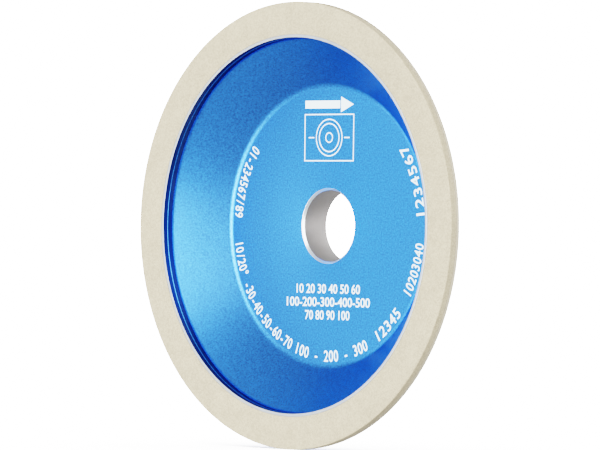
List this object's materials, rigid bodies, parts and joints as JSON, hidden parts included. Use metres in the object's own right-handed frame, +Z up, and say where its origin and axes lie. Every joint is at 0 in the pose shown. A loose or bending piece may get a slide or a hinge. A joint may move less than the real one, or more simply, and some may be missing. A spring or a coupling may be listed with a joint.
{
  "type": "diamond grinding wheel",
  "caption": "Dish-shaped grinding wheel with a flat ring of bonded diamond on an anodised aluminium body and a plain bore.",
  "frame": {"origin": "centre of the wheel: on the bore's axis, halfway between the grinding face and the back of the hub", "axes": "+Y along the wheel's axis from the grinding face towards the back of the hub, which is how the wheel leaves the spindle's flange; +Z up"},
  "size_m": [0.125, 0.024, 0.125],
  "materials": {
    "anodised_body": "blue anodised over a fine matt turned surface, glossy on the straight inner wall; bore and lip turned bare",
    "resin_base": "mineral-filled resin, matt grey-beige",
    "diamond_bond": "resin-bonded diamond grit, matt off-white with fine mottling",
    "laser_mark": "matt white laser marking burnt into the anodising"
  },
  "bodies": {
    "root": {"wheel_body": "anodised_body", "backing_ring": "resin_base", "diamond_ring": "diamond_bond"}
  },
  "joints": []
}
